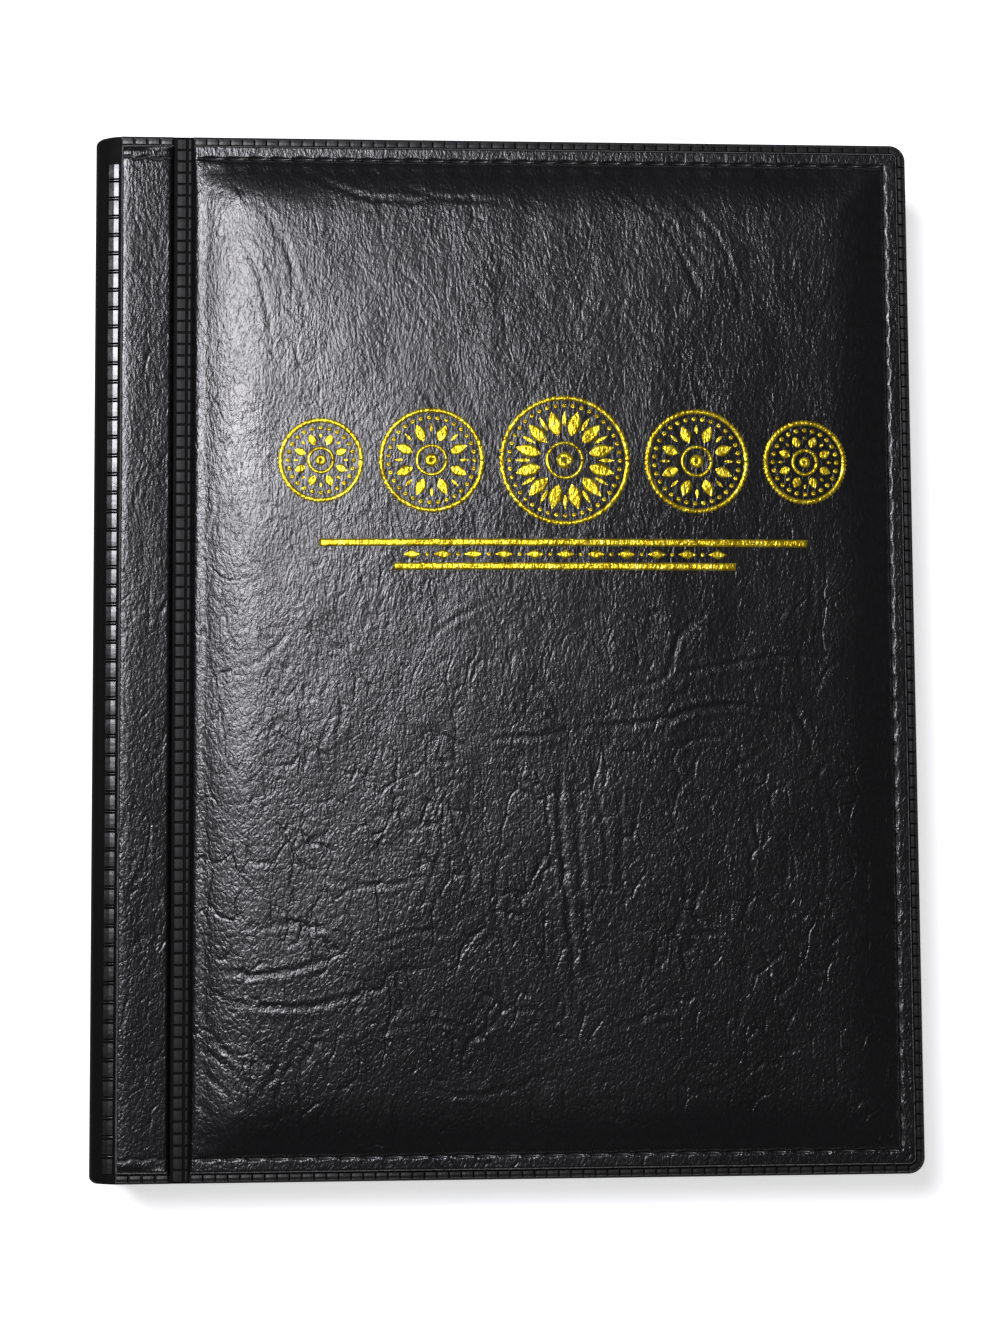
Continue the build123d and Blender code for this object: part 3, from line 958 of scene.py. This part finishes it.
def make_stitch_tree():
    """Stitches in a row: short arched lengths of thread that lie a little across the seam."""
    sizes = {"Pitch": STITCH_PITCH, "Length": 2.1, "Radius": 0.15, "Arch": 0.42, "Sink": 0.34}
    tree, nodes, given = start_geometry_tree("stitch_row", sizes)
    points, tangent = spread_points(nodes, given)
    ends = {"Start": (-0.5, 0, 0), "End": (0.5, 0, 0)}
    line = nodes.add("GeometryNodeCurvePrimitiveLine", None, ends)
    fine = nodes.add("GeometryNodeResampleCurve", None, {"Curve": line, "Count": 8})
    u = nodes.add("GeometryNodeInputPosition").part(0)
    arch = (1.0 - (u * 2.0) ** 2.0) * given["Arch"] - given["Sink"]
    sway = (u * 6.283).sine() * given["Radius"] * 0.35
    spot = nodes.add("ShaderNodeCombineXYZ", None, {0: u * given["Length"], 1: sway, 2: arch})
    bent = nodes.add("GeometryNodeSetPosition", None, {"Geometry": fine, "Position": spot})
    sockets = {"Resolution": 6, "Radius": given["Radius"]}
    ring = nodes.add("GeometryNodeCurvePrimitiveCircle", {"mode": "RADIUS"}, sockets)
    sockets = {"Curve": bent, "Profile Curve": ring, "Fill Caps": True}
    thread = nodes.add("GeometryNodeCurveToMesh", None, sockets)
    finish_geometry_tree(nodes, points, thread, tangent, given, math.radians(14))
    return tree


PILLOW_TREE = make_pillow_tree()
STITCH_TREE = make_stitch_tree()


def row_along(name, tree, paths, material, smooth=True, **sizes):
    """The tree's pieces along each path, as one plain mesh object. Points are in millimetres."""
    given = {label: value * MM for label, value in sizes.items()} | {"Material": material}
    parts = []
    for path in paths:
        curve = bpy.data.curves.new(name, "CURVE")
        curve.dimensions = "3D"
        spline = curve.splines.new("POLY")
        spline.points.add(len(path) - 1)
        for point, place in zip(spline.points, path):
            point.co = (*(np.array(place) * MM), 1.0)
        source = linked(f"{name}_path", curve)
        modifier = source.modifiers.new("row", "NODES")
        modifier.node_group = tree
        for item in tree.interface.items_tree:
            if item.in_out == "INPUT" and item.name in given:
                modifier[item.identifier] = given[item.name]
        bpy.context.view_layer.update()
        evaluated = source.evaluated_get(bpy.context.evaluated_depsgraph_get())
        parts.append(bpy.data.meshes.new_from_object(evaluated))
        bpy.data.objects.remove(source)
    return linked(name, joined_meshes(name, parts, material, smooth))


def joined_meshes(name, parts, material, smooth):
    """One mesh from several."""
    points, faces, start = [], [], 0
    for part in parts:
        co = np.zeros(len(part.vertices) * 3)
        part.vertices.foreach_get("co", co)
        points.append(co.reshape(-1, 3))
        faces += [[start + v for v in face.vertices] for face in part.polygons]
        start += len(part.vertices)
    return new_mesh(name, np.vstack(points), faces, material, smooth)


def cover_edge_path():
    """The bead's path round the cover's head, fore edge and tail."""
    radius = CORNER_RADIUS - BEAD_INSET
    right, top = FORE_EDGE - CORNER_RADIUS, HALF_HEIGHT - CORNER_RADIUS
    path = [(COVER_LEFT + 0.2, top + radius, BEAD_LEVEL)]
    for corner_y, start in ((top, 90), (-top, 0)):
        for angle in np.radians(np.linspace(start, start - 90, 10)):
            x, y = right + radius * math.cos(angle), corner_y + radius * math.sin(angle)
            path.append((x, y, BEAD_LEVEL))
    path.append((COVER_LEFT + 0.2, -top - radius, BEAD_LEVEL))
    return path


def end_paths(low, high):
    """The bead's paths across the head and tail of a narrow panel."""
    end = HALF_HEIGHT - BEAD_INSET
    return [[(low, y, BEAD_LEVEL), (high, y, BEAD_LEVEL)] for y in (end, -end)]


def make_beads():
    """The ribbed bead welded round every panel's free edge."""
    size = {"Pitch": BEAD_PITCH, "Length": 2.46, "Width": 1.5, "Height": 0.42, "Sink": 0.2}
    cover, strip = [cover_edge_path()], end_paths(STRIP_LEFT, STRIP_RIGHT)
    jobs = [
        ("front_cover", cover, AS_FRONT),
        ("front_strip", strip, AS_FRONT),
        ("back_cover", cover, AS_BACK),
        ("back_strip", strip, AS_BACK),
        ("spine", end_paths(-SPINE_HALF, SPINE_HALF), AS_SPINE),
    ]
    for body, paths, place in jobs:
        bead = row_along(f"{body}_bead", PILLOW_TREE, paths, WELDED, False, **size)
        placed(bead, place, body, "leatherette")


def make_stitching():
    """Sewing thread round the three free sides of each cover, between the needle holes."""
    paths = []
    for (start, direction, pitch, count), level in zip(seam_runs(), STITCH_LEVELS):
        first, last = (start + direction * pitch * share for share in (0.5, count - 0.5))
        paths.append([(*first, level), (*last, level)])
    for side, place in SIDES:
        stitches = row_along(f"{side}_stitches", STITCH_TREE, paths, THREAD)
        placed(stitches, place, f"{side}_cover", "sewing_thread", f"{side}_seam_thread")


# Flexible webs


def web_strip(name, low, high, columns):
    """A flat flexible strip, closed, with enough columns to bend."""
    xs = np.linspace(low, high, columns)
    ys = graded(-HALF_HEIGHT, HALF_HEIGHT, 3.2, 3.2, 0.3, 2.6)
    x, y = np.meshgrid(xs, ys)
    sheet = closed_sheet(x, y, np.full_like(x, WEB_TOP), np.zeros_like(x))
    # The web's darkened vinyl is painted shade between the pillows
    return new_object(name, *sheet, SHADED_BLACK_WELD)


def merged(name, pieces, material):
    """One flat-shaded object from several that lie in the same flat frame."""
    mesh = joined_meshes(name, [piece.data for piece in pieces], material, False)
    for piece in pieces:
        bpy.data.objects.remove(piece)
    return linked(name, mesh)


def groove_form(name):
    """The recessed groove: a thin web with a wide and a narrow column of pillows across it."""
    web = web_strip(f"{name}_web", STRIP_RIGHT - 0.02, COVER_LEFT + 0.02, 13)
    width, end, level = COVER_LEFT - STRIP_RIGHT, HALF_HEIGHT - 0.3, RIM - 0.4
    size = {"Pitch": GROOVE_PITCH, "Length": 2.2, "Height": 0.24, "Sink": 0.1}
    rows = []
    for share, wide in ((0.42, 0.56), (0.84, 0.16)):
        x = STRIP_RIGHT + share * width
        path = [(x, end, level), (x, -end, level)]
        # The ribs' darker vinyl is painted shade in the recessed groove
        row = row_along(name, PILLOW_TREE, [path], SHADED_GROOVE_WELD, Width=wide * width, **size)
        rows.append(row)
    return web, merged(f"{name}_ribs", rows, SHADED_GROOVE_WELD)


def make_groove_webs():
    """The groove webs between a strip and its cover, placed as the album lies closed."""
    for (side, place), level in zip(SIDES, (FRONT_INNER, BACK_INNER)):
        start, end = ((x * MM, 0, level * MM) for x in (STRIP_RIGHT, COVER_LEFT))
        web, ribs = groove_form(f"{side}_groove")
        for piece in (web, ribs):
            piece.data.transform(place)
            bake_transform(piece)
        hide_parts(f"{side}_groove_web")


def fold_form(name):
    """The flat fold band, whose x wraps round the spine's corner: pillows and thin ribs."""
    arc = math.pi / 2 * (FOLD_RADIUS + RIM)
    web = web_strip(f"{name}_web", 0, arc, 25)
    x, head, tail, level = 0.7 * arc, HALF_HEIGHT - 5.2, 1.6 - HALF_HEIGHT, RIM - 0.5
    size = {"Pitch": FOLD_PITCH, "Width": 0.53 * arc, "Height": 0.55, "Sink": 0.1}
    rows = []
    for move, length in ((0.0, 3.4), (FOLD_PITCH / 2, 0.26)):
        path = [(x, head - move, level), (x, tail + move, level)]
        row = row_along(name, PILLOW_TREE, [path], GLOSSY_WELD, Length=length, **size)
        rows.append(row)
    return web, merged(f"{name}_pillows", rows, GLOSSY_WELD), arc


def wrap_round_corner(piece, arc):
    """Wraps a flat band round the spine's front corner, a little squarer than a quarter circle."""
    co = np.zeros(len(piece.data.vertices) * 3)
    piece.data.vertices.foreach_get("co", co)
    x, y, h = (co.reshape(-1, 3) / MM).T
    rise = x / arc * math.pi / 2
    lean = math.radians(78)
    full, spine_radius, spine_share = FOLD_RADIUS + RIM, 6.6, 0.62
    shoulder = full * math.cos(math.pi / 2 - lean) / np.cos(np.clip(rise - lean, -0.72, 0.3))
    shoulder = shoulder + (spine_radius - shoulder) * (1 - smooth_rise(rise / spine_share))
    outer = full + (shoulder - full) * quarter_round(HALF_HEIGHT - abs(y) + 0.3, 1.6)
    radius = FOLD_RADIUS + h * (outer - FOLD_RADIUS) / RIM
    across = STRIP_LEFT + radius * np.cos(math.pi - rise)
    up = FRONT_INNER - FOLD_RADIUS + radius * np.sin(math.pi - rise)
    wrapped = np.stack([across, y, up], -1)
    piece.data.vertices.foreach_set("co", (wrapped * MM).reshape(-1))
    piece.data.update()


def make_fold_webs():
    """The rounded fold webs between the spine and a strip, wrapped round its corners as the album
    lies closed.
    """
    middle = Matrix.Translation((0, 0, (FRONT_INNER + BACK_INNER) / 2 * MM))
    turned = middle @ Matrix.Rotation(math.pi, 4, "X") @ middle.inverted()
    for side, sign, level in (("front", 1, FRONT_INNER), ("back", -1, BACK_INNER)):
        web, pillows, arc = fold_form(f"{side}_fold")
        near_spine = (SPINE_INNER * MM, 0, (level - sign * FOLD_RADIUS) * MM)
        near_strip = (STRIP_LEFT * MM, 0, level * MM)
        for piece in (web, pillows):
            wrap_round_corner(piece, arc)
            if side == "front":
                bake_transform(piece)
            else:
                piece.data.transform(turned)
                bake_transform(piece)
        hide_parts(f"{side}_fold_web")


# Gold foil


FULL_TURN = 2 * math.pi


def ring_patch(x, y, inner, outer, steps, rings=2, reeds=0, depth=0.0):
    """A ring, as rows of points. Reeds make its outer edge milled."""
    angles = np.linspace(0, FULL_TURN, steps)
    radii = np.linspace(0, 1, rings)
    milled = outer - depth * (0.5 + 0.5 * np.cos(angles * reeds))
    r = inner + (milled - inner)[None, :] * radii[:, None]
    return x + r * np.cos(angles)[None, :], y + r * np.sin(angles)[None, :]


def petal_patch(x, y, near, far, angle, half_width):
    """A leaf shape that points away from a centre."""
    t = np.linspace(0.0, 1.0, 9)
    s = np.linspace(-1.0, 1.0, 5)
    reach = near + (far - near) * t
    wide = half_width * np.sin(math.pi * t**0.85) ** 0.9
    along = np.tile(reach, (5, 1))
    across = s[:, None] * wide[None, :]
    c, d = math.cos(angle), math.sin(angle)
    return x + along * c - across * d, y + along * d + across * c


def dot_patch(x, y, radius):
    """A round dot."""
    return ring_patch(x, y, 0.02, radius, 13)


def medallion_patches(x, y, radius):
    """A plain coin: milled rim, ring of beads, leafy rosette and a boss."""
    patches = [
        ring_patch(x, y, radius - 1.1, radius, 241, 3, 60, 0.3),
        ring_patch(x, y, radius * 0.24, radius * 0.24 + 0.7, 61),
        ring_patch(x, y, 0.05, radius * 0.13, 41, 3),
    ]
    ring = radius - 2.1
    beads = round(FULL_TURN * ring / 1.7)
    for number in range(beads):
        angle = FULL_TURN * number / beads
        patches.append(dot_patch(x + ring * math.cos(angle), y + ring * math.sin(angle), 0.5))
    leaves = 8 if radius < 12 else 12
    for number in range(leaves):
        angle = FULL_TURN * (number + 0.5) / leaves
        small = angle + FULL_TURN / leaves / 2
        patches.append(petal_patch(x, y, radius * 0.38, radius - 3.0, angle, radius * 0.105))
        patches.append(petal_patch(x, y, radius * 0.52, radius - 3.2, small, radius * 0.035))
    return patches


def bar_patch(x0, x1, y0, y1):
    """A straight foil rule."""
    xs = np.linspace(x0, x1, int((x1 - x0) / 0.7) + 2)
    ys = np.linspace(y0, y1, 4)
    return np.meshgrid(xs, ys)


def lozenge_patch(x, y, half_length, half_width):
    """A small diamond."""
    t = np.linspace(-1, 1, 7)
    s = np.linspace(-1, 1, 4)
    along = np.tile(t * half_length, (4, 1))
    across = s[:, None] * (half_width * (1 - abs(t)) + 0.02)[None, :]
    return x + along, y + across


def foil_patches():
    """The ornament, laid out inside the foil's CAD box: medallions over rules and lozenges."""
    low, high = node_span("front_foil_stamp")
    radii, gap, biggest, half_rule = (8.5, 10.5, 13.0, 10.5, 8.5), 2.6, 13.0, 0.75
    x, y = low[0], high[1] - biggest
    patches = []
    for radius in radii:
        patches += medallion_patches(x + radius, y, radius)
        x += 2 * radius + gap
    centre = (low[0] + high[0]) / 2
    upper, lower = y - biggest - 3.2, low[1] + half_rule
    for level, half in ((upper, 48.0), (lower, 33.6)):
        rule = (centre - half, centre + half, level - half_rule, level + half_rule)
        patches.append(bar_patch(*rule))
    middle = (upper + lower) / 2
    for number in range(-5, 6):
        spot = centre + number * 6.0
        patches.append(lozenge_patch(spot, middle, 1.9, 0.95))
        if number < 5:
            patches.append(dot_patch(spot + 3.0, middle, 0.45))
    return patches


def make_foil(form):
    """Foil pressed into the grain of the front pad, a closed leaf that follows its creases."""
    points, faces, start = [], [], 0
    for x, y in foil_patches():
        h = form.height_at(x.ravel(), y.ravel()).reshape(x.shape)
        leaf, sides = closed_sheet(x, y, h + FOIL_ABOVE, h - FOIL_BELOW, start)
        across, along = ((v[0, 1] - v[0, 0], v[1, 0] - v[0, 0]) for v in (x, y))
        flip = across[0] * along[1] < across[1] * along[0]
        faces += [face[::-1] for face in sides] if flip else sides
        points.append(leaf)
        start += len(leaf)
    foil = new_object("front_gold_ornament", np.vstack(points), faces, GOLD)
    placed(foil, AS_FRONT, "front_cover", "gold_foil", "front_foil_stamp")


# Pages


def film_piece(name, sheets):
    """One clear piece from sheets, each with x, y, top, bottom and how welded its points are."""
    points, faces, welds, start = [], [], [], 0
    for x, y, top, bottom, weld in sheets:
        sheet, sides = closed_sheet(x, y, top, bottom, start)
        points.append(sheet)
        faces += sides
        welds += [weld.ravel()] * 2
        start += len(sheet)
    film = new_object(name, np.vstack(points), faces, CLEAR)
    paint(film, "weld", np.concatenate(welds))
    return film


def line_gap(values, lines):
    """How far each value is from the nearest line."""
    return np.min([abs(values - line) for line in lines], axis=0)


def weld_lines(values, lines):
    """1 within each weld line, 0 away from them."""
    return 1 - smooth_rise((line_gap(values, lines) - WELD_WIDTH / 2) / 0.35)


def grid_line(low, high, *parts):
    """Sorted grid places within low and high."""
    return np.unique(np.clip(np.concatenate(parts), low, high))


def page_sheets(body):
    """The sheets of one page: a back film, and for each row a pocket film, open at its head."""
    (left, _, back_low), (right, end, level) = node_span(f"{body}_back_film")
    film = level - back_low
    bulge = node_span(f"{body}_front_film")[1][2] - level - film
    pocket_left = left + 8.0
    pitch = (right - pocket_left - WELD_WIDTH) / 3
    row_pitch = (2 * end - WELD_WIDTH) / 4
    columns = [pocket_left + WELD_WIDTH / 2 + pitch * index for index in range(4)]
    rows = [-end + WELD_WIDTH / 2 + row_pitch * index for index in range(5)]
    beside_weld = np.array([-2.4, -1.4, -0.8, 0, 0.8, 1.4, 2.4])
    near_columns = np.add.outer(columns, beside_weld).ravel()
    near_rows = np.add.outer(rows, [-0.8, 0, 0.8, 2.5]).ravel()
    xs = grid_line(left, right, [left], near_columns, np.linspace(pocket_left, right, 25))
    ys = grid_line(-end, end, near_rows, np.linspace(-end, end, 21))
    x, y = np.meshgrid(xs, ys)
    upright = weld_lines(x, columns) * (x > pocket_left - 0.1)
    level_seams = weld_lines(y, rows) * (x > pocket_left)
    flat = np.full_like(x, level)
    sheets = [(x, y, flat, flat - film, np.maximum(upright, level_seams))]
    for index in range(4):
        foot = -end + row_pitch * index
        mouth = foot + row_pitch - 1.2
        near_foot = foot + np.array([0, 0.8, 1.6, 2.4, 4.0])
        ys = grid_line(foot, mouth, near_foot, np.linspace(foot + 6, mouth, 7))
        x, y = np.meshgrid(xs, ys)
        beside = 1 - smooth_rise((line_gap(x, columns) - 0.8) / 3.5)
        below = 1 - smooth_rise((y - foot - WELD_WIDTH) / 3.0)
        welded = weld_lines(x, columns)
        held = np.maximum.reduce([welded, beside, below])
        held = np.where(x < pocket_left + 0.01, 1.0, held)
        lift = (1 - held) * (0.82 + 0.18 * np.sin((y - foot) / row_pitch * math.pi)) * bulge
        seam = np.maximum(welded * (x > pocket_left - 0.1), y < foot + WELD_WIDTH)
        sheets.append((x, y, level + lift + film, level + lift, seam))
    return sheets


def make_pages():
    """Ten clear pages, and the soft crease that joins each one to its welded tab."""
    tab_edge = node_span("page_tabs")[1][0]
    for number in range(1, 11):
        body = f"page_{number:02d}"
        films = (f"{body}_back_film", f"{body}_front_film")
        page = film_piece(f"{body}_pockets", page_sheets(body))
        placed(page, Matrix.Identity(4), body, "clear_film", *films)
        low, high = node_span(films[0])
        xs = np.linspace(tab_edge - 0.3, low[0] + 0.3, 9)
        x, y = np.meshgrid(xs, np.linspace(-95, 95, 3))
        level = np.full_like(x, high[2])
        sheet = (x, y, level + 0.14, level - 0.14, np.ones_like(x))
        crease = film_piece(f"{body}_crease", [sheet])
        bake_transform(crease)


# CAD pieces that stay as they are


def finish_cad_nodes():
    """Gives every CAD piece that still shows its own finish."""
    finishes = {
        "foam": FOAM,
        "board": GREYBOARD,
        "lining": LINING_VINYL,
        "clamp_bar": CLAMP_PLASTIC,
        "rivets": NICKEL,
        "backing_strip": CARD,
        "page_tabs": MILKY,
        "tab_spacers": MILKY,
    }
    for name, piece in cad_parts.items():
        for ending, material in finishes.items():
            if name.endswith(ending):
                for slot in piece.material_slots:
                    slot.material = material


# Stage


def make_floor():
    """A plain pale floor."""
    bpy.ops.mesh.primitive_plane_add(size=4.0, location=(0, 0, 0))
    floor = bpy.context.active_object
    floor.name = "floor"
    nodes = start_material("pale_floor")
    pale = finish_material(
        nodes,
        Base_Color=(0.93, 0.93, 0.93, 1.0),
        Roughness=0.9,
        Emission_Color=(1.0, 1.0, 1.0, 1.0),
        Emission_Strength=0.62,
    )
    floor.data.materials.append(pale)


def add_window_light():
    """A soft rectangular light from the head's left, which points at the album."""
    light = bpy.data.lights.new("window", "AREA")
    light.shape = "RECTANGLE"
    light.size, light.size_y = 0.42, 0.5
    light.energy = 19.0
    light.color = (0.955, 0.94, 1.0)
    made = linked("window", light)
    made.location = (-0.50, 0.40, 1.35)
    aim = Vector((0, 0.02, 0)) - made.location
    made.rotation_euler = aim.to_track_quat("-Z", "Y").to_euler()


def set_lights():
    """Soft light from the left and above, with a dim surround."""
    world = bpy.data.worlds.new("surround")
    world.use_nodes = True
    sky = world.node_tree.nodes["Background"].inputs
    sky["Color"].default_value = (0.95, 0.97, 1.0, 1.0)
    sky["Strength"].default_value = 0.09
    bpy.context.scene.world = world
    add_window_light()


def set_camera():
    """The camera looks almost straight down on the closed album."""
    camera = bpy.data.cameras.new("camera")
    camera.lens = 70.0
    camera.sensor_width = 36.0
    camera.clip_start = 0.01
    made = linked("camera", camera)
    tilt, swing, roll = np.radians([-4.93, 3.74, 0.04])
    turned = Matrix.Rotation(roll, 3, "Z") @ Matrix.Rotation(swing, 3, "Y")
    turned = turned @ Matrix.Rotation(tilt, 3, "X")
    place = Matrix.Translation(Vector((-34.5, -44.9, 522.6)) * MM)
    made.matrix_world = place @ turned.transposed().to_4x4()
    bpy.context.scene.camera = made


def main():
    """Builds the album's looks and the stage round it."""
    set_camera()
    front = make_cover_skins()
    make_narrow_skins()
    make_beads()
    make_stitching()
    make_groove_webs()
    make_fold_webs()
    make_foil(front)
    make_pages()
    finish_cad_nodes()
    make_floor()
    set_lights()
    scene = bpy.context.scene
    scene.view_settings.view_transform = "Standard"
    scene.cycles.transparent_max_bounces = 64


main()
